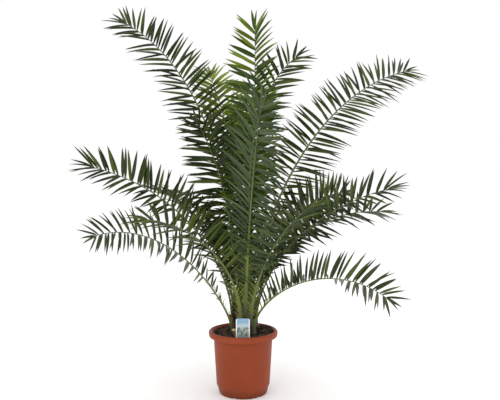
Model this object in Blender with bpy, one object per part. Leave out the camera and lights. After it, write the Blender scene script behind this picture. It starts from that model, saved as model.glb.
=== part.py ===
# Young Canary Island date palm in a 26 cm nursery pot, about 1.5 m tall with the pot.
# Metres, +Z up. The origin is the centre of the pot's flat underside,
# +X is the viewer's right and +Y points away from the viewer.
import math
import random

import bmesh
import bpy
import numpy as np
from mathutils import Matrix
from mathutils.bvhtree import BVHTree

# pot
pot_height = 0.2345
rim_radius = 0.130
collar_height = 0.024
body_radius_top = 0.1108
body_radius_low = 0.1000
step_height = 0.030
step_depth = 0.0035
foot_radius = 0.090
wall = 0.0026
floor_thickness = 0.0055
notch_count = 6
notch_width = 0.012
notch_height = 0.0028
notch_heading = 251
round_columns = 40

# compost, 0.3 mm clear of everything it touches
gap = 0.0003
soil_level = 0.215
heap_heading = 12
heap_distance = 0.076
heap_spread = 0.022
heap_height = 0.024

# trunk: a bulb of old leaf bases, slimmer towards the growing heart
trunk_shift = 0.005
trunk_height = 0.292
trunk_girth = (
    (0, 0.047),
    (0.02, 0.042),
    (0.08, 0.040),
    (0.14, 0.034),
    (0.20, 0.026),
    (0.27, 0.015),
    (0.292, 0.008),
)
trunk_scales = 12
trunk_rows = 15
scale_relief = 0.07

# plant label
label_width = 0.054
label_top = 0.299
label_bottom = 0.185
label_thickness = 0.0012
label_place = -0.098

# fronds
rib_width = 0.0115
rib_taper = 0.78
foot_extra = 0.006
rib_depth = 0.55
rib_stand_off = 0.0065
blade_start = 0.16
leaflet_pitch = 0.033
leaflet_root = 0.012
leaflet_width = 0.0165
leaflet_thickness = 0.0017
leaflet_clearance = 0.0008
shortest_leaflet = 0.5

# One row for each frond. Angles are in degrees and sizes in metres:
# foot    height of the petiole's foot       seat     its place round the trunk
# heading where the frond leans to           length   along the rib
# start, end, bend   rise at the foot and at the tip, and how late it bends
# heel    extra rise at the foot             twist    turn of the blade about its rib
# leaf    longest leaflet                    vee      how far the leaflets stand up from the blade
# 0 degrees is the viewer's right, 90 away from the viewer.
frond_fields = ("foot", "seat", "heading", "length", "start", "end", "bend", "heel", "twist", "leaf", "vee")
frond_rows = {
    "frond_left_upper": (0.310, 118, 161, 1.28, 83, 29, 2.1, 11, -15, 0.145, 22),
    "frond_left_inner": (0.305, 158, 172, 0.72, 91, 62, 1.45, 4, -65, 0.140, 20),
    "frond_back_left_upper": (0.400, 102, 114, 0.94, 86, 44, 1.2, 6, 0, 0.145, 25),
    "frond_centre_upper": (0.440, 60, 66, 0.94, 81, 91, 1.15, 10, 0, 0.145, 25),
    "frond_front_upper": (0.300, 276, 276, 0.86, 72, 40, 1.1, 14, -55, 0.160, 0),
    "frond_right_inner": (0.410, 20, 21, 0.915, 92, 37, 2.8, 9, 60, 0.130, 25),
    "frond_right_upper": (0.330, 45, 29, 1.30, 74, 14, 1.45, 20, 35, 0.150, 8),
    "frond_back_upper": (0.350, 78, 84, 1.00, 84, 32, 1.3, 6, 0, 0.145, 25),
    "frond_left_middle": (0.252, 180, 190, 0.84, 88, 14, 0.9, 8, -38, 0.145, 25),
    "frond_right_middle": (0.252, 341, 349, 0.755, 87, 14, 0.8, 12, 45, 0.140, 25),
    "frond_right_back": (0.285, 5, 14, 0.715, 90, -5, 0.8, 8, 42, 0.140, 25),
    "frond_front_left": (0.230, 255, 208, 0.62, 92, 8, 1.0, 10, -10, 0.145, 25),
    "frond_front_right": (0.265, 297, 304, 0.58, 78, 26, 1.0, 10, 0, 0.135, 25),
    "frond_back_right": (0.255, 58, 40, 0.78, 79, 2, 1.1, 14, 40, 0.145, 25),
    "frond_back_left": (0.262, 138, 130, 0.80, 76, 5, 1.0, 14, 0, 0.145, 25),
    "frond_left_lower": (0.226, 206, 161, 0.76, 61, -18, 1.45, 34, 12, 0.125, 8),
    "frond_right_lower": (0.226, 318, 367, 0.63, 80, -37, 0.75, 32, 14, 0.130, 36),
    "frond_back_lower": (0.226, 90, 93, 0.70, 58, -20, 1.2, 30, 0, 0.135, 25),
}

fronds = {name: dict(zip(frond_fields, row)) for name, row in frond_rows.items()}

chance = random.Random(7)


def clear_scene():
    for item in list(bpy.data.objects):
        bpy.data.objects.remove(item, do_unlink=True)


def plain_material(name, colour, roughness):
    material = bpy.data.materials.new(name)
    material.use_nodes = True
    shader = material.node_tree.nodes["Principled BSDF"]
    shader.inputs["Base Color"].default_value = (*colour, 1)
    shader.inputs["Roughness"].default_value = roughness
    shader.inputs["Metallic"].default_value = 0
    return material


def add_mesh(name, points, faces, material, smooth_angle=0):
    mesh = bpy.data.meshes.new(name)
    mesh.from_pydata([tuple(p) for p in points], [], faces)
    shape = bmesh.new()
    shape.from_mesh(mesh)
    bmesh.ops.recalc_face_normals(shape, faces=shape.faces)
    shape.to_mesh(mesh)
    shape.free()
    if smooth_angle:
        mesh.shade_smooth()
        mesh.set_sharp_from_angle(angle=math.radians(smooth_angle))
    mesh.materials.append(material)
    item = bpy.data.objects.new(name, mesh)
    bpy.context.scene.collection.objects.link(item)
    return item


def grid_faces(rows, columns):
    """Quads of a grid of rows that are closed round, by point number."""
    faces = []
    for i in range(rows - 1):
        for j in range(columns):
            k = (j + 1) % columns
            faces.append((i * columns + j, i * columns + k, (i + 1) * columns + k, (i + 1) * columns + j))
    return faces


def turned(profile, columns):
    """Points and faces of a profile that starts and ends on the axis, turned round Z."""
    middle = profile[1:-1]
    points = []
    for radius, height in middle:
        for j in range(columns):
            angle = 2 * math.pi * j / columns
            points.append((radius * math.cos(angle), radius * math.sin(angle), height))
    faces = grid_faces(len(middle), columns)
    for end, row in ((profile[0], 0), (profile[-1], len(middle) - 1)):
        points.append((0, 0, end[1]))
        centre = len(points) - 1
        for j in range(columns):
            faces.append((row * columns + j, row * columns + (j + 1) % columns, centre))
    return points, faces


def boxes(places, size):
    """Points and faces of one box for each place, a matrix from the box's own centre."""
    points = []
    faces = []
    for place in places:
        first = len(points)
        for z in (-0.5, 0.5):
            for x, y in ((-0.5, -0.5), (0.5, -0.5), (0.5, 0.5), (-0.5, 0.5)):
                corner = Matrix.Translation((x * size[0], y * size[1], z * size[2]))
                points.append((place @ corner).translation)
        for quad in ((0, 3, 2, 1), (4, 5, 6, 7), (0, 1, 5, 4), (1, 2, 6, 5), (2, 3, 7, 6), (3, 0, 4, 7)):
            faces.append(tuple(first + corner for corner in quad))
    return points, faces


def cut_with(item, points, faces):
    """Cuts a hidden tool out of the item."""
    tool = add_mesh(item.name + "_cutter", points, faces, item.data.materials[0])
    tool.hide_render = True
    tool.display_type = "WIRE"
    cut = item.modifiers.new("cut", "BOOLEAN")
    cut.operation = "DIFFERENCE"
    cut.solver = "EXACT"
    cut.object = tool


def along(share, stops):
    """The value at a share of the way, on straight lines between named stops."""
    places, values = zip(*stops)
    return np.interp(share, places, values)


def unit(vectors):
    return vectors / np.linalg.norm(vectors, axis=-1, keepdims=True)


# pot

def pot_inside(height):
    """Radius of the pot's inner wall at a height."""
    low = body_radius_low - wall
    top = body_radius_top - wall
    return along(height, (
        (floor_thickness, foot_radius - wall),
        (step_height - 0.004, foot_radius + 0.005 - wall),
        (step_height + 0.006, low),
        (pot_height - collar_height, top),
        (pot_height, top + 0.009),
    ))


def make_pot():
    collar_low = pot_height - collar_height
    profile = [
        (0, 0),
        (foot_radius - 0.003, 0),
        (foot_radius, 0.003),
        (foot_radius + 0.0065, step_height - 0.002),
        (foot_radius + 0.0065 + step_depth, step_height + 0.003),
        (body_radius_top, collar_low),
        (rim_radius - 0.006, collar_low + 0.001),
        (rim_radius - 0.001, collar_low + 0.006),
    ]
    # the rolled lip: a quarter of a circle from the collar's side over to its top
    lip = 0.008
    for degrees in (0, 30, 60, 90):
        angle = math.radians(degrees)
        radius = rim_radius - lip + lip * math.cos(angle)
        profile.append((radius, pot_height - lip + lip * math.sin(angle)))
    profile.append((pot_inside(pot_height) + 0.001, pot_height - 0.0015))
    for height in (pot_height - 0.006, collar_low, step_height + 0.006, step_height - 0.004, floor_thickness):
        profile.append((float(pot_inside(height)), height))
    profile.append((0, floor_thickness))
    points, faces = turned(profile, round_columns)
    plastic = plain_material("terracotta_plastic", (0.32, 0.070, 0.034), 0.5)
    pot = add_mesh("pot", points, faces, plastic, 35)
    places = []
    for i in range(notch_count):
        turn = math.radians(notch_heading + 360 * i / notch_count)
        outward = Matrix.Translation((foot_radius + 0.002, 0, 0))
        places.append(Matrix.Rotation(turn, 4, "Z") @ outward)
    cut_with(pot, *boxes(places, (0.014, notch_width, 2 * notch_height)))
    return pot


# compost

def heap(x, y):
    """How far the compost stands above its level: a heap on the trunk's right-hand side."""
    middle_x = trunk_shift + heap_distance * math.cos(math.radians(heap_heading))
    middle_y = heap_distance * math.sin(math.radians(heap_heading))
    away = math.hypot(x - middle_x, y - middle_y) / heap_spread
    return heap_height * math.exp(-0.5 * away * away)


def make_compost():
    columns = round_columns
    profile = []
    for height in (floor_thickness + gap, step_height - 0.004, step_height + 0.006, soil_level - 0.004):
        profile.append((float(pot_inside(height)) - gap, height))
    edge = float(pot_inside(soil_level)) - gap
    collar = trunk_girth[0][1] + 0.0035
    points = []
    for radius, height in profile:
        for j in range(columns):
            angle = 2 * math.pi * j / columns
            points.append((radius * math.cos(angle), radius * math.sin(angle), height))
    # the surface: rings from the wall in to the collar round the trunk, then flat under it
    rings = [edge, edge - 0.010, 0.090, 0.080, 0.070, 0.060, collar + 0.0005, collar]
    for number, radius in enumerate(rings):
        for j in range(columns):
            angle = 2 * math.pi * j / columns
            inner = along(radius, ((collar, trunk_shift), (edge, 0)))
            x = inner + radius * math.cos(angle)
            y = radius * math.sin(angle)
            rough = 0 if number in (0, 6, 7) else chance.uniform(-0.002, 0.0005)
            high = 0 if number in (0, 7) else heap(x, y)
            points.append((x, y, soil_level + high + rough))
    rows = len(profile) + len(rings)
    faces = grid_faces(rows, columns)
    faces.append(tuple(range(columns)))
    faces.append(tuple((rows - 1) * columns + j for j in range(columns)))
    peat = plain_material("peat_compost", (0.030, 0.017, 0.011), 0.95)
    compost = add_mesh("compost", points, faces, peat)
    deep = soil_level - label_bottom + gap
    slot = (label_width + 2 * gap, label_thickness + 2 * gap, 2 * deep)
    cut_with(compost, *boxes([Matrix.Translation((0, label_place, soil_level))], slot))
    return compost


# trunk

def trunk_radius(height):
    """Outer radius of the trunk's leaf bases at a height above the pot's underside."""
    return along(np.asarray(height) - soil_level, trunk_girth)


def make_trunk():
    """A diamond grid: every other point stands out to the full girth, as the tip of an old leaf base."""
    foot = soil_level + gap
    columns = 2 * trunk_scales
    points = []
    for i in range(trunk_rows):
        height = foot + (trunk_height - 0.001) * i / (trunk_rows - 1)
        for j in range(columns):
            angle = 2 * math.pi * j / columns
            sunk = 1 - scale_relief * ((i + j) % 2)
            radius = float(trunk_radius(height)) * sunk
            x = trunk_shift + radius * math.cos(angle)
            points.append((x, radius * math.sin(angle), height))
    faces = grid_faces(trunk_rows, columns)
    faces.append(tuple(range(columns)))
    faces.append(tuple((trunk_rows - 1) * columns + j for j in range(columns)))
    fibre = plain_material("leaf_base_fibre", (0.085, 0.040, 0.020), 0.9)
    return add_mesh("trunk", points, faces, fibre)


def make_cut_base():
    """The stub of a leaf that was cut off: it widens from its foot and ends in a slanting cut."""
    seat = math.radians(231)
    outward = np.array((math.cos(seat), math.sin(seat), 0))
    across = np.array((-math.sin(seat), math.cos(seat), 0))
    up = np.array((0, 0, 1))
    foot = np.array((trunk_shift, 0, 0.2185)) + outward * (trunk_girth[0][1] + 0.001)
    points = []
    # each section's rise, lean, half width and thickness
    sections = (
        (0, 0.001, 0.006, 0.010),
        (0.020, 0.004, 0.009, 0.011),
        (0.031, 0.009, 0.009, 0.010),
    )
    for rise, lean, half_width, thickness in sections:
        for side, depth in ((-1, 0.15), (1, 0.15), (0.75, 1), (-0.75, 1)):
            cut = -0.008 * depth if rise > 0.03 else 0
            away = outward * (lean + depth * thickness)
            points.append(foot + up * (rise + cut) + away + across * side * half_width)
    faces = grid_faces(3, 4) + [(0, 1, 2, 3), (8, 9, 10, 11)]
    cut_face = plain_material("cut_petiole", (0.42, 0.27, 0.11), 0.8)
    return add_mesh("cut_leaf_base", points, faces, cut_face)


def make_label():
    height = label_top - label_bottom - 2 * gap
    place = Matrix.Translation((0, label_place, label_bottom + 2 * gap + height / 2))
    points, faces = boxes([place], (label_width, label_thickness, height))
    card = plain_material("label_card", (0.72, 0.79, 0.84), 0.4)
    return add_mesh("plant_label", points, faces, card)


# fronds: the rule that scene.py carries on with finer leaflets

def frond_path(frond, share):
    """Points, forward, upper-face and sideways directions of a frond's rib at shares of its length.

    rise = start + (end - start) share^bend + heel e^(-share / 0.06)
    course = heading + (seat - heading) e^(-share / 0.08)
    The upper face looks at the trunk from the foot on, and turns by twist over the first 45%.
    """
    steps = np.linspace(0, 1, 400)
    rise = frond["start"] + (frond["end"] - frond["start"]) * steps ** frond["bend"]
    rise = np.radians(rise + frond["heel"] * np.exp(-steps / 0.06))
    swing = (frond["seat"] - frond["heading"] + 180) % 360 - 180
    course = np.radians(frond["heading"] + swing * np.exp(-steps / 0.08))
    level = np.cos(rise)
    forward = np.stack([level * np.cos(course), level * np.sin(course), np.sin(rise)], -1)
    seat = math.radians(frond["seat"])
    away = float(trunk_radius(frond["foot"])) + rib_stand_off
    points = np.zeros((len(steps), 3))
    points[0] = (trunk_shift + away * math.cos(seat), away * math.sin(seat), frond["foot"])
    stride = frond["length"] / (len(steps) - 1)
    points[1:] = points[0] + np.cumsum((forward[1:] + forward[:-1]) / 2, axis=0) * stride
    inward = np.array((-math.cos(seat), -math.sin(seat), 0.6))
    upper = unit(inward - (forward @ inward)[:, None] * forward)
    side = np.cross(forward, upper)
    turn = np.clip(steps / 0.45, 0, 1)
    turn = np.radians(frond["twist"] * turn * turn * (3 - 2 * turn))[:, None]
    turned_upper = upper * np.cos(turn) + side * np.sin(turn)
    turned_side = side * np.cos(turn) - upper * np.sin(turn)
    parts = []
    for part in (points, forward, turned_upper, turned_side):
        parts.append(np.stack([np.interp(share, steps, part[:, k]) for k in range(3)], -1))
    return parts


def rib_half_width(frond, share):
    foot = foot_extra * np.exp(-share * frond["length"] / 0.04)
    return (rib_width * (1 - rib_taper * share) + foot) / 2


def leaflet_length(frond, share):
    stops = ((0.16, 0.35), (0.28, 0.75), (0.42, 1), (0.65, 1), (0.85, 0.86), (1, 0.66))
    return frond["leaf"] * along(share, stops)


def leaflet_breadth(share):
    stops = ((0.16, 0.35), (0.32, 0.7), (0.5, 1), (0.8, 0.95), (1, 0.7))
    return leaflet_width * along(share, stops)


def leaflet_spread(share):
    """Angle between a leaflet and the rib."""
    return along(share, ((0.16, 60), (0.3, 79), (0.6, 77), (0.8, 68), (0.93, 55), (1, 34)))


def leaflet_lift(frond, share):
    """Angle of a leaflet above the blade's plane."""
    return frond["vee"] * along(share, ((0.16, 1.6), (0.5, 1), (1, 0.5)))


def leaflet_rings(root, forward, upper, side, hand, length, breadth, spread, lift, swell):
    """A leaflet's middle section and tip: four corners half-way out, and a point or a small square."""
    spread = math.radians(spread)
    lift = math.radians(lift)
    out = math.cos(lift) * hand * side + math.sin(lift) * upper
    course = math.cos(spread) * forward + math.sin(spread) * out
    across = unit(forward - (forward @ course) * course)
    face = np.cross(course, across)
    if face @ upper < 0:
        face = -face
    droop = np.array((0, 0, -0.03 * length))
    middle = root + course * 0.42 * length + face * 0.02 * length
    tip = root + course * (length + swell) + droop
    rings = []
    section = (middle, breadth / 2 + swell, leaflet_thickness / 2 + swell)
    for centre, half, thick in (section, (tip, swell, swell)):
        rings.append([
            centre - across * half + face * thick,
            centre + across * half + face * thick,
            centre + across * half - face * thick,
            centre - across * half - face * thick,
        ])
    return rings[0], rings[1], tip


def rib_rings(frond):
    """Shares of the rib's rings, and the number of the first ring of each pair of leaflets."""
    length = frond["length"]
    pairs = round((1 - blade_start) * length / leaflet_pitch)
    shares = [0, 0.02, 0.05, 0.10]
    bays = []
    for i in range(pairs):
        middle = blade_start + (1 - blade_start) * (i + 0.5) / pairs
        half = leaflet_root / 2 / length
        bays.append(len(shares))
        shares += [middle - half, middle + half]
    shares.append(1)
    return np.array(shares), bays


def rib_points(frond, shares, swell=0):
    """Three corners for each ring: two upper edges and a keel."""
    points, forward, upper, side = frond_path(frond, shares)
    half = (rib_half_width(frond, shares) + swell)[:, None]
    deep = half * rib_depth * 2
    edge = points + upper * deep / 3
    keel = points - upper * deep * 2 / 3
    return np.stack([edge - side * half, edge + side * half, keel], 1).reshape(-1, 3)


def tree_of(points, faces):
    return BVHTree.FromPolygons([tuple(p) for p in points], faces)


def comb_of(frond, others):
    """Points and faces of one frond: its rib, and the leaflets that stay clear of the others."""
    shares, bays = rib_rings(frond)
    points = list(rib_points(frond, shares))
    faces = [(2, 1, 0)]
    path, forward, upper, side = frond_path(frond, (shares[:-1] + shares[1:]) / 2)
    leafy = dict.fromkeys(bays)
    for i in range(len(shares) - 1):
        low, high = 3 * i, 3 * i + 3
        faces.append((low, low + 1, high + 1, high))
        left = (low, high, high + 2, low + 2)
        right = (low + 1, high + 1, high + 2, low + 2)
        for hand, quad in ((-1, left), (1, right)):
            faces.append(quad)
            if i not in leafy:
                continue
            share = (shares[i] + shares[i + 1]) / 2
            spread = leaflet_spread(share) + chance.uniform(-5, 5)
            lift = leaflet_lift(frond, share) + chance.uniform(-7, 7)
            length = leaflet_length(frond, share) * chance.uniform(0.93, 1.04)
            breadth = leaflet_breadth(share)
            shape = (path[i], forward[i], upper[i], side[i], hand)
            size = shortened(shape, length, breadth, spread, lift, others)
            if not size:
                continue
            middle, square, tip = leaflet_rings(*shape, size, breadth, spread, lift, 0)
            faces.pop()
            first = len(points)
            points += middle
            points.append(tip)
            for a in range(4):
                b = (a + 1) % 4
                faces.append((quad[a], quad[b], first + b, first + a))
                faces.append((first + a, first + b, first + 4))
    # the rib runs out in a last leaflet
    end = 3 * (len(shares) - 1)
    path, forward, upper, side = (part[0] for part in frond_path(frond, np.array([1.0])))
    reach = 0.55 * frond["leaf"]
    middle = path + forward * 0.4 * reach
    half = 0.3 * leaflet_width
    first = len(points)
    points.append(middle - side * half + upper * 0.0005)
    points.append(middle + side * half + upper * 0.0005)
    points.append(middle - upper * 0.0012)
    points.append(path + forward * reach)
    for a in range(3):
        b = (a + 1) % 3
        faces.append((end + a, end + b, first + b, first + a))
        faces.append((first + a, first + b, first + 3))
    return points, faces


def shortened(shape, length, breadth, spread, lift, others):
    """The longest of a few lengths that keeps the leaflet clear of everything else, or 0."""
    root, forward, upper, side, hand = shape
    swell = leaflet_clearance
    for share in (1, 0.85, 0.7, 0.6, shortest_leaflet):
        size = length * share
        middle, square, tip = leaflet_rings(*shape, size, breadth, spread, lift, swell)
        start = root + unit(tip - root) * 0.002
        half = forward * (leaflet_root / 2 + leaflet_clearance)
        thick = upper * 0.003
        foot = [start - half + thick, start + half + thick, start + half - thick, start - half - thick]
        points = foot + middle + square
        faces = grid_faces(3, 4) + [(0, 1, 2, 3), (8, 9, 10, 11)]
        probe = tree_of(points, faces)
        if not any(probe.overlap(other) for other in others):
            return size
    return 0


def make_fronds(solid_trees):
    ribs = {}
    for name, frond in fronds.items():
        shares, bays = rib_rings(frond)
        quads = []
        for i in range(len(shares) - 1):
            for a in range(3):
                b = (a + 1) % 3
                quads.append((3 * i + a, 3 * i + b, 3 * i + 3 + b, 3 * i + 3 + a))
        ribs[name] = tree_of(rib_points(frond, shares, leaflet_clearance), quads)
    finished = list(solid_trees)
    for name, frond in fronds.items():
        others = finished + [tree for other, tree in ribs.items() if other != name]
        points, faces = comb_of(frond, others)
        upright = frond["foot"] > 0.35
        colour = (0.075, 0.130, 0.030) if upright else (0.045, 0.085, 0.032)
        add_mesh(name, points, faces, plain_material(name + "_green", colour, 0.55))
        finished.append(tree_of(points, faces))


def tree_of_object(item):
    mesh = item.data
    return tree_of([v.co for v in mesh.vertices], [tuple(p.vertices) for p in mesh.polygons])


clear_scene()
pot = make_pot()
compost = make_compost()
trunk = make_trunk()
cut_base = make_cut_base()
label = make_label()
make_fronds([tree_of_object(item) for item in (pot, compost, trunk, cut_base, label)])
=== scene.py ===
# Young Canary Island date palm in a nursery pot. Metres, +Z up, the pot's underside at the origin.
import math

import bmesh
import bpy
import numpy as np
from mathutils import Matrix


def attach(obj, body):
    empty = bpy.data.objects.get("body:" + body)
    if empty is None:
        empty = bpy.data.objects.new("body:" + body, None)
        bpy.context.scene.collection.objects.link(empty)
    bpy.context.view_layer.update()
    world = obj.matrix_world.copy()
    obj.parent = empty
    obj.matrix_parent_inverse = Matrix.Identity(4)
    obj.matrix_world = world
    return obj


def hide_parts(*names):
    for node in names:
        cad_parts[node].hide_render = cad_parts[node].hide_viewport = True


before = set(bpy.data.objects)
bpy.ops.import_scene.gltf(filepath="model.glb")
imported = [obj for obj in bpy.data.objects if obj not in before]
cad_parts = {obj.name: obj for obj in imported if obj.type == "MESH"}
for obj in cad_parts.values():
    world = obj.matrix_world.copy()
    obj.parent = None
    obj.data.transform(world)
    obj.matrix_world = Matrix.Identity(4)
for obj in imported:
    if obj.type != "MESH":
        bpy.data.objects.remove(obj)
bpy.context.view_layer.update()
chance = np.random.default_rng(11)
soilLevel = 0.215
trunkShift = 0.005


def unit(vectors):
    return vectors / np.maximum(np.linalg.norm(vectors, axis=-1, keepdims=True), 1e-12)


def between(low, high, count):
    return low + (high - low) * chance.random(count)


def along(share, stops):  # straight lines between named stops
    places, values = zip(*stops)
    return np.interp(share, places, values)


def ringFaces(rows, columns):  # quads of rows that close round, rows first
    i, j = np.meshgrid(np.arange(rows - 1), np.arange(columns), indexing="ij")
    k = (j + 1) % columns
    quads = np.stack([i * columns + j, i * columns + k, (i + 1) * columns + k, (i + 1) * columns + j], -1)
    return quads.reshape(-1, 4)


def manyFaces(template, count, step):  # the same faces for each of many equal bits
    template = np.asarray(template)
    shifted = template[None] + (np.arange(count) * step)[:, None, None]
    return shifted.reshape(-1, template.shape[1]).tolist()


def newPiece(name, points, faces, material, replaced=(), sharpAngle=40, values=None):
    mesh = bpy.data.meshes.new(name)
    mesh.from_pydata(np.asarray(points).reshape(-1, 3).tolist(), [], faces)
    for title, data in (values or {}).items():
        kept = mesh.attributes.new(title, "FLOAT", "POINT")
        kept.data.foreach_set("value", np.asarray(data, np.float32).ravel())
    shape = bmesh.new()
    shape.from_mesh(mesh)
    bmesh.ops.recalc_face_normals(shape, faces=shape.faces)
    shape.to_mesh(mesh)
    shape.free()
    mesh.shade_smooth()
    mesh.set_sharp_from_angle(angle=math.radians(sharpAngle))
    mesh.materials.append(material)
    piece = bpy.data.objects.new(name, mesh)
    bpy.context.scene.collection.objects.link(piece)
    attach(piece, "root")
    if replaced:
        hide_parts(*replaced)
    print(name, len(mesh.polygons), "faces")
    return piece


# the thin tubes of spines, fibres and straw: points carried along a path, with a triangle round it
def strands(paths, radii):
    count, stations = paths.shape[:2]
    forward = unit(np.gradient(paths, axis=1))
    helper = np.where(np.abs(forward[..., 2:3]) > 0.9, (1.0, 0.0, 0.0), (0.0, 0.0, 1.0))
    across = unit(np.cross(forward, helper))
    other = np.cross(forward, across)
    turns = np.radians((0, 120, 240))
    rings = paths[:, :, None] + radii[..., None, None] * (
        np.cos(turns)[:, None] * across[:, :, None] + np.sin(turns)[:, None] * other[:, :, None])
    quads = manyFaces(ringFaces(stations, 3), count, stations * 3)
    last = (stations - 1) * 3
    ends = manyFaces([(0, 1, 2), (last, last + 1, last + 2)], count, stations * 3)
    return rings.reshape(-1, 3), quads + ends


# soft bumps: a sum of plane waves in seeded directions, from -1 to 1 or so
def ripples(points, wavelength, seed, waves=18):
    draw = np.random.default_rng(seed)
    total = np.zeros(points.shape[:-1])
    for _ in range(waves):
        course = unit(draw.normal(size=3))
        length = wavelength * draw.uniform(0.6, 1.7)
        total += np.sin(points @ course * (2 * np.pi / length) + draw.uniform(0, 6.28))
    return total / math.sqrt(waves)


# materials

def finish(name, roughness):
    material = bpy.data.materials.new(name)
    material.use_nodes = True
    tree = material.node_tree
    shader = tree.nodes["Principled BSDF"]
    shader.inputs["Roughness"].default_value = roughness
    return material, tree, shader


def ramp(tree, source, stops):
    made = tree.nodes.new("ShaderNodeValToRGB")
    tree.links.new(source, made.inputs[0])
    bar = made.color_ramp
    while len(bar.elements) < len(stops):
        bar.elements.new(0.5)
    for element, (place, colour) in zip(bar.elements, stops):
        element.position = place
        element.color = (*colour, 1)
    return made.outputs[0]


def mix(tree, share, first, second, blend="MIX"):
    made = tree.nodes.new("ShaderNodeMix")
    made.data_type = "RGBA"
    made.blend_type = blend
    for place, item in ((0, share), (6, first), (7, second)):
        if isinstance(item, (int, float)):
            made.inputs[place].default_value = item
        elif isinstance(item, tuple):
            made.inputs[place].default_value = (*item, 1)
        else:
            tree.links.new(item, made.inputs[place])
    return made.outputs[2]


def grain(tree, scale, detail=4, stretch=(1, 1, 1)):
    place = tree.nodes.new("ShaderNodeTexCoord")
    mapping = tree.nodes.new("ShaderNodeMapping")
    mapping.inputs["Scale"].default_value = stretch
    tree.links.new(place.outputs["Object"], mapping.inputs["Vector"])
    noise = tree.nodes.new("ShaderNodeTexNoise")
    noise.inputs["Scale"].default_value = scale
    noise.inputs["Detail"].default_value = detail
    tree.links.new(mapping.outputs[0], noise.inputs["Vector"])
    return noise.outputs["Fac"]


def pointValue(tree, title):  # a number kept on each point of the mesh
    made = tree.nodes.new("ShaderNodeAttribute")
    made.attribute_name = title
    return made.outputs["Fac"]


def sums(tree, kind, first, second):
    made = tree.nodes.new("ShaderNodeMath")
    made.operation = kind
    for place, item in enumerate((first, second)):
        if isinstance(item, (int, float)):
            made.inputs[place].default_value = item
        else:
            tree.links.new(item, made.inputs[place])
    return made.outputs[0]


def heightAndX(tree):  # how high each point of the surface lies, and how far to the right
    place = tree.nodes.new("ShaderNodeTexCoord")
    parts = tree.nodes.new("ShaderNodeSeparateXYZ")
    tree.links.new(place.outputs["Object"], parts.inputs[0])
    return parts.outputs["Z"], parts.outputs["X"]


def bump(tree, shader, height, strength, distance):
    made = tree.nodes.new("ShaderNodeBump")
    made.inputs["Strength"].default_value = strength
    made.inputs["Distance"].default_value = distance
    tree.links.new(height, made.inputs["Height"])
    tree.links.new(made.outputs[0], shader.inputs["Normal"])


leafletLooks = {
    "roughness": 0.38, "specular": 0.28, "mottleScale": 35, "mottleShare": 0.5,
    "veins": 44, "veinDepth": 0.0003, "midribShare": 0.22, "midrib": (0.16, 0.21, 0.045),
    "lengthwise": ((0, (0.75, 0.75, 0.75)), (0.12, (1, 1, 1)), (0.9, (1, 1, 1)), (1, (1.0, 0.8, 0.55))),
    "grown": ((0.009, 0.018, 0.002), (0.086, 0.120, 0.010), (0.031, 0.056, 0.014)),
    # young leaflets: their own paler yellow-green, made brighter still with painted light shining through
    # them
    "young_painted_glow": ((0.026, 0.055, 0.003), (0.26, 0.35, 0.018), (0.09, 0.15, 0.012)),
    # the front frond: blue-grey colours that paint the sheen of its waxy leaflets
    "painted_sheen": ((0.017, 0.033, 0.009), (0.080, 0.118, 0.034), (0.054, 0.088, 0.042)),
}


# waxy leaflet: dark to light by its own tone, mottled with a second tone, brown towards the tip,
# with a pale midrib and fine veins along it; the front frond's blue-grey colours are a painted sheen
def leafletFinish(kind):
    looks = leafletLooks
    dark, light, mottleTone = looks[kind]
    material, tree, shader = finish(kind + "_leaflet", looks["roughness"])
    shader.inputs["Specular IOR Level"].default_value = looks["specular"]
    middle = tuple((a + b) / 2 for a, b in zip(dark, light))
    colour = ramp(tree, pointValue(tree, "tone"), ((0, dark), (0.55, middle), (1, light)))
    mottle = grain(tree, looks["mottleScale"], 3)
    colour = mix(tree, sums(tree, "MULTIPLY", mottle, looks["mottleShare"]), colour, mottleTone)
    tint = ramp(tree, pointValue(tree, "alongLeaf"), looks["lengthwise"])
    colour = mix(tree, 1.0, colour, tint, "MULTIPLY")
    edge = sums(tree, "ABSOLUTE", pointValue(tree, "acrossLeaf"), 0)
    midrib = ramp(tree, edge, ((0, (1, 1, 1)), (0.12, (0, 0, 0))))
    colour = mix(tree, sums(tree, "MULTIPLY", midrib, looks["midribShare"]), colour, looks["midrib"])
    tree.links.new(colour, shader.inputs["Base Color"])
    veins = sums(tree, "SINE", sums(tree, "MULTIPLY", edge, looks["veins"]), 0)
    bump(tree, shader, veins, 0.18, looks["veinDepth"])
    return material


# petiole and rib: brown at the foot, bright green along the stalk, darker to the tip, streaked lengthwise
def ribFinish():
    material, tree, shader = finish("petiole_skin", 0.42)
    colour = ramp(tree, pointValue(tree, "alongRib"), (
        (0, (0.040, 0.016, 0.007)), (0.03, (0.052, 0.044, 0.009)), (0.08, (0.085, 0.120, 0.014)),
        (0.22, (0.135, 0.185, 0.022)), (0.55, (0.125, 0.170, 0.026)), (1, (0.050, 0.074, 0.014))))
    streak = grain(tree, 30, 5, (3, 3, 0.6))
    colour = mix(tree, sums(tree, "MULTIPLY", streak, 0.5), colour, (0.022, 0.036, 0.007))
    tree.links.new(colour, shader.inputs["Base Color"])
    bump(tree, shader, streak, 0.2, 0.0005)
    return material


# one finish for peat, fibre and spines: a noise gives both the colour and the relief
def mottled(name, roughness, scale, stops, strength, distance, stretch=(1, 1, 1), fine=6):
    material, tree, shader = finish(name, roughness)
    spots = grain(tree, scale, fine, stretch)
    tree.links.new(ramp(tree, spots, stops), shader.inputs["Base Color"])
    bump(tree, shader, spots, strength, distance)
    return material


def bitFinish(name, dark, light, roughness):  # each crumb or strand has its own tone
    material, tree, shader = finish(name, roughness)
    colour = ramp(tree, pointValue(tree, "tone"), ((0, dark), (1, light)))
    spots = grain(tree, 400, 3)
    colour = mix(tree, sums(tree, "MULTIPLY", spots, 0.6), colour, dark)
    tree.links.new(colour, shader.inputs["Base Color"])
    bump(tree, shader, spots, 0.4, 0.0005)
    return material


# camera, light and floor

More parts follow.
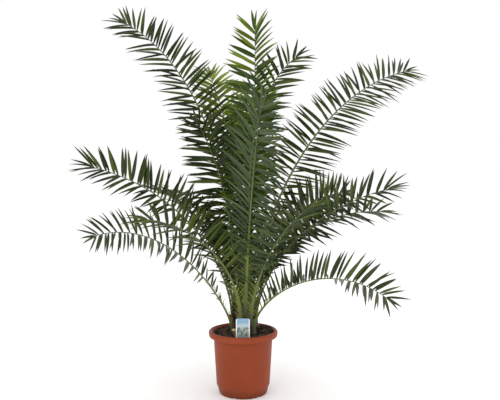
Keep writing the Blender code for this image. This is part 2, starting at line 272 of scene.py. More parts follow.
view = {"place": (0.0258, -2.27, 0.79), "down": 0.0293, "pixels": 606.1, "width": 500}
camera = bpy.data.objects.new("camera", bpy.data.cameras.new("camera"))
camera.location = view["place"]
camera.rotation_euler = (math.pi / 2 - view["down"], 0, 0)
camera.data.sensor_fit = "HORIZONTAL"
camera.data.sensor_width = 36
camera.data.lens = 36 * view["pixels"] / view["width"]
bpy.context.scene.collection.objects.link(camera)
bpy.context.scene.camera = camera
bpy.context.scene.view_settings.view_transform = "Standard"

studio = {
    "key": ((-1.5, -2.7, 2.7), 2.4, 15),
    "fill": ((2.4, -2.2, 1.5), 2.2, 6),
    "top": ((0.2, 0.5, 3.4), 2.0, 22),
    "back": ((0.6, 2.8, 2.0), 2.4, 6),
}
for name, (place, size, power) in studio.items():
    lamp = bpy.data.objects.new(name, bpy.data.lights.new(name, "AREA"))
    lamp.data.size = size
    lamp.data.energy = power
    lamp.location = place
    gaze = np.array((0, 0, 0.7)) - np.array(place)
    lamp.rotation_euler = (math.pi - math.acos(gaze[2] / np.linalg.norm(gaze)), 0,
                           math.atan2(gaze[1], gaze[0]) - math.pi / 2)
    bpy.context.scene.collection.objects.link(lamp)
world = bpy.data.worlds.new("studio")
world.use_nodes = True
world.node_tree.nodes["Background"].inputs[0].default_value = (1, 1, 1, 1)
world.node_tree.nodes["Background"].inputs[1].default_value = 1.0
bpy.context.scene.world = world
floorMesh = bpy.data.meshes.new("floor")
floorMesh.from_pydata([(-60, -60, 0), (60, -60, 0), (60, 60, 0), (-60, 60, 0)], [], [(0, 1, 2, 3)])
floor = bpy.data.objects.new("floor", floorMesh)
floorFinish, floorTree, floorShader = finish("pale_floor", 0.9)
floorShader.inputs["Base Color"].default_value = (0.97, 0.97, 0.97, 1)
floorShader.inputs["Emission Color"].default_value = (1, 1, 1, 1)
floorShader.inputs["Emission Strength"].default_value = 0.08
floorMesh.materials.append(floorFinish)
bpy.context.scene.collection.objects.link(floor)
print("stage ready")

# pot

potSettings = {
    "height": 0.2345, "rim": 0.130, "collar": 0.024, "top": 0.1108, "low": 0.100, "step": 0.030,
    "foot": 0.090, "wall": 0.0026, "floor": 0.0055, "lip": 0.008, "notches": 6, "notchWidth": 0.012,
    "notchHeight": 0.0040, "notchHeading": 251, "notchReach": 0.083, "columns": 192,
}


def potInside(height):
    pot = potSettings
    return along(height, (
        (pot["floor"], pot["foot"] - pot["wall"]),
        (pot["step"] - 0.004, pot["foot"] + 0.005 - pot["wall"]),
        (pot["step"] + 0.006, pot["low"] - pot["wall"]),
        (pot["height"] - pot["collar"], pot["top"] - pot["wall"]),
        (pot["height"], pot["top"] - pot["wall"] + 0.009)))


# a profile turned round Z: point = (radius cos a, radius sin a, height), closed at both poles
def turnedSurface(profile, columns):
    profile = np.array(profile)
    angle = np.arange(columns) * 2 * np.pi / columns
    middle = profile[1:-1]
    grid = np.stack([middle[:, :1] * np.cos(angle), middle[:, :1] * np.sin(angle),
                     np.repeat(middle[:, 1:], columns, 1)], -1)
    rows = len(middle)
    points = np.concatenate([grid.reshape(-1, 3), [(0, 0, profile[0, 1]), (0, 0, profile[-1, 1])]])
    faces = ringFaces(rows, columns).tolist()
    for pole, row in ((rows * columns, 0), (rows * columns + 1, rows - 1)):
        j = np.arange(columns)
        following = row * columns + (j + 1) % columns
        faces += np.stack([row * columns + j, following, np.full(columns, pole)], -1).tolist()
    return points, faces


def makePot():
    pot = potSettings
    collarLow = pot["height"] - pot["collar"]
    foot, rim, top = pot["foot"], pot["rim"], pot["top"]
    profile = [(0, 0), (0.04, 0), (foot - 0.006, 0), (foot - 0.003, 0),
               (foot - 0.001, 0.0008), (foot, 0.003)]
    for height in np.linspace(0.006, pot["step"] - 0.002, 5):
        profile.append((foot + 0.0065 * (height - 0.003) / (pot["step"] - 0.005), height))
    profile += [(0.0985, pot["step"] + 0.0005), (0.100, pot["step"] + 0.003)]
    for height in np.linspace(pot["step"] + 0.01, collarLow - 0.003, 14):
        profile.append((pot["low"] + (top - pot["low"]) * (height - 0.033) / (collarLow - 0.033), height))
    profile += [(top, collarLow), (top + 0.0015, collarLow + 0.0006), (rim - 0.006, collarLow + 0.001),
                (rim - 0.0025, collarLow + 0.0025), (rim - 0.001, collarLow + 0.006)]
    for degrees in range(0, 91, 10):
        turn = math.radians(degrees)
        drop = pot["lip"] * (1 - math.sin(turn))
        profile.append((rim - pot["lip"] * (1 - math.cos(turn)), pot["height"] - drop))
    mouth = float(potInside(pot["height"]))
    profile += [(mouth + 0.003, pot["height"] - 0.0002), (mouth + 0.001, pot["height"] - 0.0015)]
    inner = (pot["height"] - 0.006, collarLow, pot["step"] + 0.006, pot["step"] - 0.004, pot["floor"])
    for height in inner:
        profile.append((float(potInside(height)), height))
    profile.append((0, pot["floor"]))
    points, faces = turnedSurface(profile, pot["columns"])
    # the drainage notches lift the foot's edge in short steps round it
    angle = np.arctan2(points[:, 1], points[:, 0]) - math.radians(pot["notchHeading"])
    apart = np.abs((angle * pot["notches"] / (2 * np.pi) + 0.5) % 1 - 0.5) * 2 * np.pi / pot["notches"]
    outer = np.hypot(points[:, 0], points[:, 1]) > pot["notchReach"]
    inNotch = (apart * foot < pot["notchWidth"] / 2) & outer
    lifted = points[:, 2] * 0.2 + pot["notchHeight"]
    points[:, 2] = np.where(inNotch & (points[:, 2] < 0.0032), lifted, points[:, 2])
    material, tree, shader = finish("terracotta_plastic", 0.48)
    shader.inputs["Specular IOR Level"].default_value = 0.20
    cloud = grain(tree, 9, 4)
    speck = grain(tree, 160, 3)
    colour = ramp(tree, cloud, (
        (0.3, (0.250, 0.042, 0.011)), (0.55, (0.285, 0.048, 0.013)), (0.75, (0.315, 0.058, 0.019))))
    colour = mix(tree, sums(tree, "MULTIPLY", speck, 0.22), colour, (0.19, 0.045, 0.020))
    # painted shade: the pot darkens towards its foot, most where it meets the floor, fading out up the wall
    paintedFootShade = ramp(tree, heightAndX(tree)[0], ((0, (0.55,) * 3), (0.035, (0.95,) * 3), (0.2, (1, 1, 1))))
    colour = mix(tree, 1.0, colour, paintedFootShade, "MULTIPLY")
    tree.links.new(colour, shader.inputs["Base Color"])
    rough = ramp(tree, cloud, ((0.3, (0.42,) * 3), (0.7, (0.58,) * 3)))
    tree.links.new(rough, shader.inputs["Roughness"])
    bump(tree, shader, speck, 0.08, 0.0006)
    newPiece("pot_shell", points, faces, material, ["pot"], 32)


makePot()

# compost

compostSettings = {
    "heapHeading": 12, "heapDistance": 0.076, "heapSpread": 0.022, "heapHeight": 0.021, "roughness": 0.0016,
    "backRise": 0.0035, "wallRise": 0.0085, "crumbs": 2600, "chips": 300, "straws": 110,
}


# level, rising to the wall, plus a heap to the trunk's right, plus soft bumps that fade at the wall
def soilHeight(x, y):
    heap = compostSettings
    middleX = trunkShift + heap["heapDistance"] * math.cos(math.radians(heap["heapHeading"]))
    middleY = heap["heapDistance"] * math.sin(math.radians(heap["heapHeading"]))
    away = np.hypot(x - middleX, y - middleY) / heap["heapSpread"]
    edge = float(potInside(soilLevel + heap["wallRise"]))
    reach = np.hypot(x, y)
    fade = np.clip((edge - reach) / 0.006, 0, 1)
    spots = np.stack([x, y, 0 * x], -1)
    rough = ripples(spots, 0.012, 3) * heap["roughness"] + ripples(spots, 0.035, 4) * heap["roughness"]
    back = np.clip((y + 0.035) / 0.09, 0, 1)
    rough = rough + heap["backRise"] * back * back * (3 - 2 * back)
    outer = np.clip((reach - 0.045) / 0.045, 0, 1)
    level = soilLevel + heap["wallRise"] * outer * outer * (3 - 2 * outer)
    return level + heap["heapHeight"] * np.exp(-0.5 * away ** 2) * fade + rough * fade - 0.0008


def makeCompost():
    columns = 120
    angle = np.arange(columns) * 2 * np.pi / columns
    rows = []
    for height in (0.0058, 0.026, 0.036, soilLevel - 0.008):
        radius = float(potInside(height)) - 0.0003
        x, y = radius * np.cos(angle), radius * np.sin(angle)
        rows.append(np.stack([x, y, np.full(columns, height)], -1))
    edge = float(potInside(soilLevel + compostSettings["wallRise"])) - 0.0004
    for radius in np.linspace(edge, 0.004, 52):
        x, y = radius * np.cos(angle), radius * np.sin(angle)
        rows.append(np.stack([x, y, soilHeight(x, y)], -1))
    points = np.concatenate(rows)
    faces = ringFaces(len(rows), columns).tolist()
    faces += [list(range(columns)), list(range(len(points) - columns, len(points)))]
    peatTones = ((0.3, (0.010, 0.006, 0.004)), (0.55, (0.032, 0.018, 0.011)), (0.8, (0.085, 0.05, 0.03)))
    peat = mottled("peat", 0.95, 260, peatTones, 0.9, 0.002)
    newPiece("compost_bed", points, faces, peat, ["compost"], 60)
    # crumbs and bark chips: squashed octahedra, each turned its own way
    settings = compostSettings
    count = settings["crumbs"] + settings["chips"]
    small = between(0.0010, 0.0029, settings["crumbs"])
    large = between(0.0032, 0.0066, settings["chips"])
    size = np.concatenate([small, large])
    radius = np.sqrt(between(0.047 ** 2, (edge - 0.006) ** 2, count))
    turn = between(0, 2 * np.pi, count)
    x, y = radius * np.cos(turn) + trunkShift * 0.4, radius * np.sin(turn)
    centre = np.stack([x, y, soilHeight(x, y) + size * 0.25], -1)
    first = unit(chance.normal(size=(count, 3)) * (1, 1, 0.5))
    second = unit(np.cross(first, chance.normal(size=(count, 3))))
    third = np.cross(first, second)
    axes = (first * (size * 1.3)[:, None], second * (size * 0.9)[:, None], third * (size * 0.5)[:, None])
    spans = np.stack(axes, 1)
    corners = np.concatenate([centre[:, None] + spans, centre[:, None] - spans], 1)
    template = [(0, 1, 2), (1, 3, 2), (3, 4, 2), (4, 0, 2), (1, 0, 5), (3, 1, 5), (4, 3, 5), (0, 4, 5)]
    tone = np.repeat(chance.random(count) ** 2, 6)
    bits = bitFinish("bark_bits", (0.008, 0.005, 0.003), (0.20, 0.115, 0.066), 0.92)
    newPiece("compost_crumbs", corners, manyFaces(template, count, 6), bits, sharpAngle=20,
             values={"tone": tone})
    # pale straw and root ends, lying on the surface
    count = settings["straws"]
    t = np.linspace(0, 1, 7)
    length = between(0.012, 0.034, count)
    heading = between(0, 2 * np.pi, count)
    radius = np.sqrt(between(0.056 ** 2, (edge - 0.02) ** 2, count))
    turn = between(0, 2 * np.pi, count)
    bend = between(-1.5, 1.5, count)
    course = heading[:, None] + bend[:, None] * t
    x = radius[:, None] * np.cos(turn[:, None]) + length[:, None] * np.cos(course) * (t - 0.5)
    y = radius[:, None] * np.sin(turn[:, None]) + length[:, None] * np.sin(course) * (t - 0.5)
    reach = np.hypot(x, y)
    shrink = np.minimum(1, (edge - 0.005) / reach)
    x, y = x * shrink, y * shrink
    paths = np.stack([x, y, soilHeight(x, y) + 0.0011 + 0.0015 * np.sin(np.pi * t)], -1)
    radii = between(0.00035, 0.0007, count)[:, None] * (1 - 0.6 * t)
    points, faces = strands(paths, radii)
    straw = bitFinish("straw_ends", (0.16, 0.10, 0.05), (0.5, 0.38, 0.22), 0.85)
    newPiece("compost_straw", points, faces, straw,
             values={"tone": np.repeat(chance.random(count), 21)})


makeCompost()

# trunk

trunkSettings = {
    "height": 0.292, "scales": 12, "rowStep": 0.0208, "relief": 0.07, "fibres": 420, "greenFrom": 0.26,
}
trunkGirth = (  # height over the compost, radius
    (0, 0.047), (0.02, 0.042), (0.08, 0.040), (0.14, 0.034), (0.20, 0.026), (0.27, 0.015), (0.292, 0.008))


def trunkRadius(height):
    return along(np.asarray(height) - soilLevel, trunkGirth)


# radius = girth (1 - relief (0.6 diamond + 0.4 lip)) + streaks, where diamond is the pattern of old
# leaf bases round and up, lip their upper edges, and the streaks are the fibre's
def makeTrunk():
    trunk = trunkSettings
    rows, columns = 170, 216
    height = np.linspace(0.0003, trunk["height"] - 0.0007, rows)[:, None]
    angle = (np.arange(columns) * 2 * np.pi / columns)[None]
    diamond = 0.5 - 0.5 * np.cos(trunk["scales"] * angle) * np.cos(np.pi * height / trunk["rowStep"])
    lip = ((height / trunk["rowStep"] / 2 + angle * trunk["scales"] / (2 * np.pi)) % 1) ** 2
    grid = np.zeros((rows, columns))
    spots = np.stack([np.cos(angle) * 0.04 + grid, np.sin(angle) * 0.04 + grid, height * 0.18 + grid], -1)
    streak = np.clip(ripples(spots, 0.0035, 8, 30), -2, 2) * 0.0006 + ripples(spots, 0.012, 9) * 0.0006
    carved = along(height, trunkGirth) * (1 - trunk["relief"] * (0.6 * diamond + 0.4 * lip))
    radius = carved - 0.0012 + np.minimum(streak, 0.0011)
    x, y = trunkShift + radius * np.cos(angle), radius * np.sin(angle)
    points = np.stack([x, y, soilLevel + height + grid], -1)
    faces = ringFaces(rows, columns).tolist()
    faces += [list(range(columns)), list(range((rows - 1) * columns, rows * columns))]
    fibreTones = ((0.28, (0.014, 0.006, 0.003)), (0.5, (0.052, 0.020, 0.010)),
                  (0.68, (0.105, 0.045, 0.022)), (0.85, (0.20, 0.11, 0.055)))
    bark = mottled("leaf_base_fibre", 0.9, 34, fibreTones, 0.9, 0.003, (2.2, 2.2, 0.35), 9)
    # the fibre turns dark green towards the heart
    tree = bark.node_tree
    shader = tree.nodes["Principled BSDF"]
    rise = sums(tree, "SUBTRACT", heightAndX(tree)[0], trunk["greenFrom"])
    heart = ramp(tree, sums(tree, "MULTIPLY", rise, 8.0), ((0, (0, 0, 0)), (1, (1, 1, 1))))
    plain = shader.inputs["Base Color"].links[0].from_socket
    tree.links.new(mix(tree, heart, plain, (0.016, 0.022, 0.006)), shader.inputs["Base Color"])
    newPiece("trunk_bark", points, faces, bark, ["trunk"], 60)
    # loose brown fibres that stand off between the leaf bases
    count = trunk["fibres"]
    t = np.linspace(0, 1, 7)
    foot = between(0.0, 0.25, count)
    turn = between(0, 2 * np.pi, count)
    length = between(0.015, 0.045, count)
    drift = between(-0.5, 0.5, count)
    rise = foot[:, None] + length[:, None] * t
    course = turn[:, None] + drift[:, None] * t ** 2
    loose = 0.0045 * t ** 1.5 * between(0.2, 1, count)[:, None]
    away = along(np.minimum(rise, 0.285), trunkGirth) + loose - 0.0006
    x, y = trunkShift + away * np.cos(course), away * np.sin(course)
    paths = np.stack([x, y, soilLevel + 0.002 + rise], -1)
    points, faces = strands(paths, between(0.0002, 0.0005, count)[:, None] * (1 - 0.7 * t))
    threads = bitFinish("loose_fibre", (0.03, 0.014, 0.008), (0.22, 0.12, 0.06), 0.9)
    newPiece("trunk_fibres", points, faces, threads,
             values={"tone": np.repeat(chance.random(count), 21)})
    return bark


barkFinish = makeTrunk()

# stub of a cut leaf: rounded sections that widen upwards, ending in a slanting pale cut

stubSettings = {
    "seat": 231, "standOff": 0.048, "foot": 0.2185, "sides": 28,
    "sections": (  # rise, lean outwards, half width, half thickness
        (0, 0.0065, 0.0060, 0.0042), (0.010, 0.0078, 0.0075, 0.0046), (0.020, 0.0098, 0.0088, 0.0048),
        (0.0295, 0.0138, 0.0089, 0.0043), (0.031, 0.0142, 0.0082, 0.0038), (0.0308, 0.0142, 0.004, 0.002)),
    "tones": (0.1, 0.2, 0.25, 0.45, 0.95, 1.0),
}


# section point = foot + outward (lean + thick sin^0.6) + across half cos^0.6, with the top ones
# sunk to the slant of the cut
def makeStub():
    settings = stubSettings
    sides = settings["sides"]
    seat = math.radians(settings["seat"])
    outward = np.array((math.cos(seat), math.sin(seat), 0))
    across = np.array((-math.sin(seat), math.cos(seat), 0))
    foot = np.array((trunkShift, 0, settings["foot"])) + outward * settings["standOff"]
    turn = np.arange(sides) * 2 * np.pi / sides
    squareX = np.sign(np.cos(turn)) * np.abs(np.cos(turn)) ** 0.6
    squareY = np.sign(np.sin(turn)) * np.abs(np.sin(turn)) ** 0.6
    rows = []
    for rise, lean, half, thick in settings["sections"]:
        depth = lean + thick * squareY
        cut = (depth - lean) * 0.75 * (rise > 0.025)
        place = foot + np.outer(depth, outward) + np.outer(half * squareX, across)
        place[:, 2] += rise - cut - 0.003 * (rise > 0.025)
        rows.append(place)
    points = np.concatenate(rows)
    faces = ringFaces(len(rows), sides).tolist()
    faces += [list(range(sides)), list(range(len(points) - sides, len(points)))]
    tone = np.repeat(settings["tones"], sides)
    stub = bitFinish("cut_stub", (0.11, 0.065, 0.030), (0.78, 0.58, 0.30), 0.8)
    newPiece("leaf_stub", points, faces, stub, ["cut_leaf_base"], 50, {"tone": tone})


makeStub()

# label: a thin flat card with rounded top corners and a soft plain print

labelSettings = {
    "width": 0.0500, "top": 0.2985, "bottom": 0.1855, "thickness": 0.0010, "place": -0.098, "corner": 0.005,
    "printFrom": 0.23, "printHeight": 0.0685,
    "leafTone": (0.045, 0.085, 0.065), "border": (0.86, 0.88, 0.88),
}


# half width = width / 2 - corner (1 - root(1 - below^2)), where below runs from 0 to 1 up the corners
def makeLabel():
    label = labelSettings
    columns, rows = 17, 40
    u = np.linspace(-1, 1, columns)[None]
    height = np.linspace(label["bottom"], label["top"], rows)[:, None]
    below = np.clip((height - (label["top"] - label["corner"])) / label["corner"], 0, 1)
    half = label["width"] / 2 - label["corner"] * (1 - np.sqrt(1 - below ** 2))
    x = half * u
    sheets = []
    for offset in (-0.5, 0.5):
        y = label["place"] + offset * label["thickness"] + 0 * x
        sheets.append(np.stack([x, y, height + 0 * x], -1).reshape(-1, 3))
    points = np.concatenate(sheets)
    i, j = np.meshgrid(np.arange(rows - 1), np.arange(columns - 1), indexing="ij")
    corner = i * columns + j
    front = np.stack([corner, corner + 1, corner + columns + 1, corner + columns], -1).reshape(-1, 4)
    faces = front.tolist() + (front[:, ::-1] + rows * columns).tolist()
    rim = list(range(columns)) + [i * columns + columns - 1 for i in range(1, rows)]
    rim += [(rows - 1) * columns + j for j in range(columns - 2, -1, -1)]
    rim += [i * columns for i in range(rows - 2, 0, -1)]
    for a, b in zip(rim, rim[1:] + rim[:1]):
        faces.append([a, b, b + rows * columns, a + rows * columns])
    material, tree, shader = finish("coated_card", 0.3)
    high, sideways = heightAndX(tree)
    share = sums(tree, "DIVIDE", sums(tree, "SUBTRACT", high, label["printFrom"]), label["printHeight"])
    base = ramp(tree, share, (
        (0, (0.26, 0.32, 0.33)), (0.3, (0.30, 0.37, 0.30)), (0.62, (0.46, 0.54, 0.56)),
        (0.8, (0.22, 0.38, 0.56)), (1, (0.24, 0.40, 0.60))))
    leafy = ramp(tree, grain(tree, 130, 3, (1, 1, 0.6)), ((0.44, (0, 0, 0)), (0.62, (1, 1, 1))))
    zone = ramp(tree, share, ((0.04, (0, 0, 0)), (0.10, (1, 1, 1)), (0.50, (1, 1, 1)), (0.56, (0, 0, 0))))
    colour = mix(tree, sums(tree, "MULTIPLY", leafy, zone), base, label["leafTone"])
    side = sums(tree, "ABSOLUTE", sideways, 0)
    border = ramp(tree, sums(tree, "MULTIPLY", side, 40), ((0.84, (0, 0, 0)), (0.87, (1, 1, 1))))
    colour = mix(tree, border, colour, label["border"])
    tree.links.new(colour, shader.inputs["Base Color"])
    newPiece("label_card", points, faces, material, ["plant_label"], 30)


makeLabel()

# fronds: the same rule as the solids, with finer leaflets

frondFields = ("foot", "seat", "heading", "length", "start", "end", "bend", "heel", "twist", "leaf", "vee")
frondRows = {
    "frond_left_upper": (0.310, 118, 161, 1.28, 83, 29, 2.1, 11, -15, 0.145, 22),
    "frond_left_inner": (0.305, 158, 172, 0.72, 91, 62, 1.45, 4, -65, 0.140, 20),
    "frond_back_left_upper": (0.400, 102, 114, 0.94, 86, 44, 1.2, 6, 0, 0.145, 25),
    "frond_centre_upper": (0.440, 60, 66, 0.94, 81, 91, 1.15, 10, 0, 0.145, 25),
    "frond_front_upper": (0.300, 276, 276, 0.86, 72, 40, 1.1, 14, -55, 0.160, 0),
    "frond_right_inner": (0.410, 20, 21, 0.915, 92, 37, 2.8, 9, 60, 0.130, 25),
    "frond_right_upper": (0.330, 45, 29, 1.30, 74, 14, 1.45, 20, 35, 0.150, 8),
    "frond_back_upper": (0.350, 78, 84, 1.00, 84, 32, 1.3, 6, 0, 0.145, 25),
    "frond_left_middle": (0.252, 180, 190, 0.84, 88, 14, 0.9, 8, -38, 0.145, 25),
    "frond_right_middle": (0.252, 341, 349, 0.755, 87, 14, 0.8, 12, 45, 0.140, 25),
    "frond_right_back": (0.285, 5, 14, 0.715, 90, -5, 0.8, 8, 42, 0.140, 25),
    "frond_front_left": (0.230, 255, 208, 0.62, 92, 8, 1.0, 10, -10, 0.145, 25),
    "frond_front_right": (0.265, 297, 304, 0.58, 78, 26, 1.0, 10, 0, 0.135, 25),
    "frond_back_right": (0.255, 58, 40, 0.78, 79, 2, 1.1, 14, 40, 0.145, 25),
    "frond_back_left": (0.262, 138, 130, 0.80, 76, 5, 1.0, 14, 0, 0.145, 25),
    "frond_left_lower": (0.226, 206, 161, 0.76, 61, -18, 1.45, 34, 12, 0.125, 8),
    "frond_right_lower": (0.226, 318, 367, 0.63, 80, -37, 0.75, 32, 14, 0.130, 36),
    "frond_back_lower": (0.226, 90, 93, 0.70, 58, -20, 1.2, 30, 0, 0.135, 25),
}
fronds = {name: dict(zip(frondFields, row)) for name, row in frondRows.items()}
frondTones = {  # how bright each frond's leaflets are; the others take otherTone
    "frond_centre_upper": 0.22, "frond_back_left_upper": 0.80, "frond_right_inner": 0.50,
    "frond_left_inner": 0.16, "frond_back_upper": 0.70, "frond_front_upper": 0.42,
    "frond_left_upper": 0.30, "frond_right_upper": 0.40, "frond_front_left": 0.52,
}
otherTone = 0.36
# these fronds' leaflets are yellow-green as young leaves are, brightened with painted light shining through
# them
youngPaintedGlowFronds = ("frond_back_left_upper", "frond_back_upper", "frond_centre_upper")
# leaflets of these fronds take the blue-grey painted sheen
paintedSheenFronds = ("frond_front_upper",)
broadFronds = {  # how much broader than the rest these fronds' leaflets are
    "frond_back_upper": 1.3, "frond_back_left": 1.3, "frond_back_right": 1.25, "frond_back_lower": 1.3,
    "frond_back_left_upper": 1.25, "frond_centre_upper": 1.15, "frond_right_upper": 0.95,
}
ribSettings = {
    "width": 0.0115, "taper": 0.78, "foot": 0.013, "footFade": 0.05, "depth": 0.55, "standOff": 0.0065,
    "rows": 64, "sides": 10,
}
leafSettings = {
    "start": 0.16, "pitch": 0.0148, "breadth": 0.0142, "fold": 33, "thickness": 0.0007, "rows": 8,
    "spreadJitter": 9, "liftJitter": 13, "bow": 0.05, "droop": 0.03, "pairing": 0.34, "endLength": 0.55,
}
sheathSettings = {
    "highest": 0.36, "height": 0.075, "overlap": 0.0022, "sunk": 0.004, "ragged": 0.10,
    "rows": 14, "sides": 20,
}
spineSettings = {
    "start": 0.045, "end": 0.28, "pitch": 0.0080, "length": 0.066, "radius": 0.0013,
    "tones": ((0.3, (0.08, 0.12, 0.014)), (0.5, (0.20, 0.26, 0.03)), (0.7, (0.36, 0.40, 0.06))),
}


# rise = start + (end - start) share^bend + heel e^(-share / 0.06)
# course = heading + (seat - heading) e^(-share / 0.08)
def frondPath(frond, share):
    steps = np.linspace(0, 1, 400)
    rise = frond["start"] + (frond["end"] - frond["start"]) * steps ** frond["bend"]
    rise = np.radians(rise + frond["heel"] * np.exp(-steps / 0.06))
    swing = (frond["seat"] - frond["heading"] + 180) % 360 - 180
    course = np.radians(frond["heading"] + swing * np.exp(-steps / 0.08))
    level = np.cos(rise)
    forward = np.stack([level * np.cos(course), level * np.sin(course), np.sin(rise)], -1)
    seat = math.radians(frond["seat"])
    away = float(trunkRadius(frond["foot"])) + ribSettings["standOff"]
    points = np.zeros((len(steps), 3))
    points[0] = (trunkShift + away * math.cos(seat), away * math.sin(seat), frond["foot"])
    stride = frond["length"] / (len(steps) - 1)
    points[1:] = points[0] + np.cumsum((forward[1:] + forward[:-1]) / 2, axis=0) * stride
    inward = np.array((-math.cos(seat), -math.sin(seat), 0.6))
    upper = unit(inward - (forward @ inward)[:, None] * forward)
    side = np.cross(forward, upper)
    turn = np.clip(steps / 0.45, 0, 1)
    turn = np.radians(frond["twist"] * turn * turn * (3 - 2 * turn))[:, None]
    turnedUpper = upper * np.cos(turn) + side * np.sin(turn)
    turnedSide = side * np.cos(turn) - upper * np.sin(turn)
    parts = []
    for part in (points, forward, turnedUpper, turnedSide):
        parts.append(np.stack([np.interp(share, steps, part[:, k]) for k in range(3)], -1))
    return parts


def ribHalfWidth(frond, share):
    foot = ribSettings["foot"] * np.exp(-share * frond["length"] / ribSettings["footFade"])
    return (ribSettings["width"] * (1 - ribSettings["taper"] * share) + foot) / 2


def leafletLength(frond, share):
    return frond["leaf"] * along(share, (
        (0.16, 0.35), (0.28, 0.75), (0.42, 1), (0.65, 1), (0.85, 0.92), (1, 0.74)))


def leafletBreadth(share):
    return leafSettings["breadth"] * along(share, (
        (0.16, 0.45), (0.32, 0.78), (0.5, 0.95), (0.8, 1.0), (1, 0.85)))


def leafletSpread(share):
    return along(share, ((0.16, 60), (0.3, 79), (0.6, 77), (0.8, 68), (0.93, 55), (1, 34)))


def leafletLift(frond, share):
    return frond["vee"] * along(share, ((0.16, 1.6), (0.5, 1), (1, 0.5)))


# rib: a rounded section, flat above and keeled below, carried along the frond's path
def ribSurface(frond):
    share = np.linspace(0, 1, ribSettings["rows"]) ** 1.15
    path, forward, upper, side = frondPath(frond, share)
    half = ribHalfWidth(frond, share)[:, None]
    deep = half * ribSettings["depth"] * 2
    turn = np.arange(ribSettings["sides"]) * 2 * np.pi / ribSettings["sides"]
    across = np.cos(turn) * half
    lift = np.where(np.sin(turn) > 0, np.sin(turn) * 0.42 * deep, np.sin(turn) * 0.62 * deep)
    grid = path[:, None] + side[:, None] * across[..., None] + upper[:, None] * lift[..., None]
    return grid, share


# leaflet: midrib(t) = root + course L t + face bow L t (1 - t) - up droop L t^2; its two halves fold
# up from it by the fold angle, and their width follows the outline
def leafletSurfaces(root, forward, upper, side, hand, length, breadth, spread, lift):
    settings = leafSettings
    spread, lift = np.radians(spread)[:, None], np.radians(lift)[:, None]
    out = np.cos(lift) * hand[:, None] * side + np.sin(lift) * upper
    course = np.cos(spread) * forward + np.sin(spread) * out
    across = unit(forward - (forward * course).sum(-1, keepdims=True) * course)
    face = np.cross(course, across)
    face = face * np.sign((face * upper).sum(-1, keepdims=True) + 1e-9)
    t = np.array((0, 0.05, 0.16, 0.34, 0.55, 0.75, 0.91, 1.0))
    outline = np.array((0.42, 0.62, 0.92, 1.0, 0.90, 0.62, 0.27, 0.03))
    size = length[:, None, None]
    run = t[None, :, None]
    bend = settings["bow"] * between(0.2, 1.8, len(length))[:, None, None]
    sag = settings["droop"] * between(0.0, 2.0, len(length))[:, None, None]
    middle = root[:, None] + course[:, None] * size * run + face[:, None] * bend * size * run * (1 - run)
    middle = middle - np.array((0, 0, 1)) * sag * size * run ** 2
    half = breadth[:, None, None] / 2 * outline[None, :, None]
    fold = np.radians(settings["fold"] + between(-12, 14, len(length)))[:, None, None]
    wide = across[:, None] * half * np.cos(fold)
    high = face[:, None] * half * np.sin(fold)
    thick = face[:, None] * settings["thickness"] * (0.35 + 0.65 * outline[None, :, None])
    rings = np.stack([middle - wide + high, middle, middle + wide + high, middle - thick], 2)
    values = {
        "alongLeaf": np.broadcast_to(t[None, :, None], rings.shape[:3]),
        "acrossLeaf": np.broadcast_to(np.array((-1, 0, 1, 0))[None, None], rings.shape[:3]),
    }
    return rings, values


# sheath: an oval tube from the trunk's skin to the petiole: its centre lies between the two and its
# width = (rib + overlap) root(1 - rise^3), so that it closes at the top
def makeSheaths():
    settings = sheathSettings
    rows, sides = settings["rows"], settings["sides"]
    turn = np.arange(sides) * 2 * np.pi / sides
    grids = []
    for frond in fronds.values():
        if frond["foot"] > settings["highest"]:
            continue
        share = np.linspace(0, settings["height"] / frond["length"], rows)
        path, forward, upper, side = frondPath(frond, share)
        axis = np.stack([np.full(rows, trunkShift), np.zeros(rows), path[:, 2]], -1)
        outward = unit((path - axis) * (1, 1, 0))
        skin = axis + outward * (trunkRadius(np.minimum(path[:, 2], 0.50)) - settings["sunk"])[:, None]
        rise = np.linspace(0, 1, rows)[:, None]
        ragged = 1 + settings["ragged"] * ripples(path, 0.012, 12)[:, None]
        shut = np.sqrt(np.clip(1 - rise ** 3, 0.0004, 1)) * ragged
        middle = (path + skin) / 2
        reach = np.linalg.norm(path - skin, axis=1)[:, None] / 2 + 0.0015 * (1 - rise)
        half = (ribHalfWidth(frond, share)[:, None] + settings["overlap"]) * shut
        lean = unit(path - skin)
        across = unit(np.cross(lean, (0, 0, 1.0)))
        middle = middle + lean * reach * (1 - shut) * 0.6
        reach = reach * np.clip(shut, 0.05, 1)
        grids.append(middle[:, None] + lean[:, None] * (reach * np.cos(turn))[..., None]
                     + across[:, None] * (half * np.sin(turn))[..., None])
    faces = manyFaces(ringFaces(rows, sides), len(grids), rows * sides)
    ends = [list(range(sides)), list(range((rows - 1) * sides, rows * sides))]
    faces += manyFaces(ends, len(grids), rows * sides)
    points = np.concatenate([grid.reshape(-1, 3) for grid in grids])
    newPiece("leaf_sheaths", points, faces, barkFinish, sharpAngle=60)


makeSheaths()


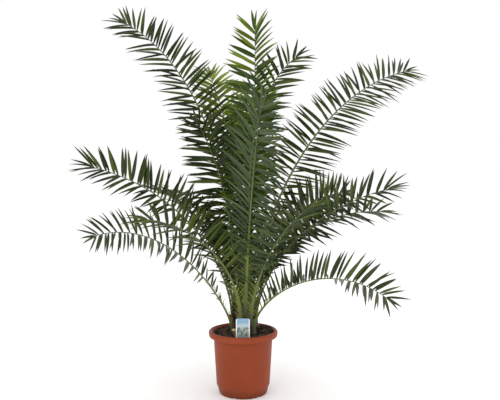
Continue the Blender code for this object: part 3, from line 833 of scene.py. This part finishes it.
# leaflets of one frond: pairs of them along the rib from start to tip, and two more at its end
def frondLeaflets(name, frond):
    settings = leafSettings
    covered = 1 - settings["start"]
    pairs = 2 * round(covered * frond["length"] / (2 * settings["pitch"]))
    place = settings["start"] + covered * (np.arange(pairs) + 0.5) / pairs
    # neighbours stand closer in twos, as the real ones do
    nudge = np.where(np.arange(pairs) % 2 == 0, 1, -1) * settings["pairing"] / pairs * 0.84
    share = np.concatenate([place + nudge, place - nudge * 0.4, [1.0, 1.0]])
    hand = np.concatenate([np.full(pairs, -1.0), np.full(pairs, 1.0), [-1.0, 1.0]])
    share = np.clip(share + between(-0.15, 0.15, len(share)) / pairs, 0, 1)
    path, forward, upper, side = frondPath(frond, share)
    count = len(share)
    spread = leafletSpread(share) + between(-1, 1, count) * settings["spreadJitter"]
    lift = leafletLift(frond, share) + between(-1, 1, count) * settings["liftJitter"]
    length = leafletLength(frond, share) * between(0.88, 1.02, count)
    breadth = leafletBreadth(share) * broadFronds.get(name, 1.0)
    spread[-2:] = (9, 7)
    length[-2:] = frond["leaf"] * settings["endLength"]
    root = path + side * (hand * ribHalfWidth(frond, share) * 0.7)[:, None]
    rings, values = leafletSurfaces(root, forward, upper, side, hand, length, breadth, spread, lift)
    tone = frondTones.get(name, otherTone) + 0.9 * (between(0, 1, count) ** 1.6 - 0.38)
    values["tone"] = np.clip(tone, 0, 1)[:, None, None] + np.zeros(rings.shape[:3])
    return rings, values


# spines of one frond: thin straight thorns in pairs below the leaflets, longer towards them
def frondSpines(frond):
    settings = spineSettings
    reach = settings["end"] - settings["start"]
    pairs = int(reach * frond["length"] / settings["pitch"])
    share = np.repeat(np.linspace(settings["start"], settings["end"], pairs), 2)
    hand = np.tile((-1.0, 1.0), pairs)
    path, forward, upper, side = frondPath(frond, share)
    lean = np.radians(between(25, 75, len(share)))[:, None]
    sideways = unit(side * hand[:, None] * 0.8 + upper * between(0, 1, len(share))[:, None])
    course = np.cos(lean) * forward + np.sin(lean) * sideways
    growth = 0.45 + 0.75 * (share - settings["start"]) / reach
    size = settings["length"] * growth * between(0.5, 1.1, len(share))
    t = np.linspace(0, 1, 4)
    root = path + side * (hand * ribHalfWidth(frond, share) * 0.8)[:, None]
    paths = root[:, None] + course[:, None] * size[:, None, None] * t[None, :, None]
    return paths, np.broadcast_to(settings["radius"] * (1 - 0.93 * t), (len(share), 4))


def leafletKind(name):
    if name in youngPaintedGlowFronds:
        return "young_painted_glow"
    return "painted_sheen" if name in paintedSheenFronds else "grown"


def makeFronds():
    rows, sides = ribSettings["rows"], ribSettings["sides"]
    ribs, spines = [], []
    groups = {"grown": [], "young_painted_glow": [], "painted_sheen": []}
    for name, frond in fronds.items():
        ribs.append(ribSurface(frond))
        groups[leafletKind(name)].append(frondLeaflets(name, frond))
        spines.append(frondSpines(frond))
    faces = manyFaces(ringFaces(rows, sides), len(ribs), rows * sides)
    ends = [list(range(sides)), list(range((rows - 1) * sides, rows * sides))]
    faces += manyFaces(ends, len(ribs), rows * sides)
    points = np.concatenate([grid.reshape(-1, 3) for grid, share in ribs])
    alongRib = np.concatenate([np.repeat(share, sides) for grid, share in ribs])
    newPiece("frond_ribs", points, faces, ribFinish(), list(fronds), 60,
             {"alongRib": alongRib})
    paths, radii = (np.concatenate(kept) for kept in zip(*spines))
    points, faces = strands(paths, radii)
    skin = mottled("spine_skin", 0.4, 60, spineSettings["tones"], 0.1, 0.0005)
    newPiece("frond_spines", points, faces, skin)
    for kind, made in groups.items():
        rings = np.concatenate([item[0] for item in made])
        values = {title: np.concatenate([item[1][title] for item in made]) for title in made[0][1]}
        stations = rings.shape[1]
        faces = manyFaces(ringFaces(stations, 4), len(rings), stations * 4)
        last = (stations - 1) * 4
        ends = [(0, 1, 2, 3), (last, last + 1, last + 2, last + 3)]
        faces += manyFaces(ends, len(rings), stations * 4)
        newPiece(kind + "_leaflets", rings, faces, leafletFinish(kind), sharpAngle=25, values=values)


makeFronds()
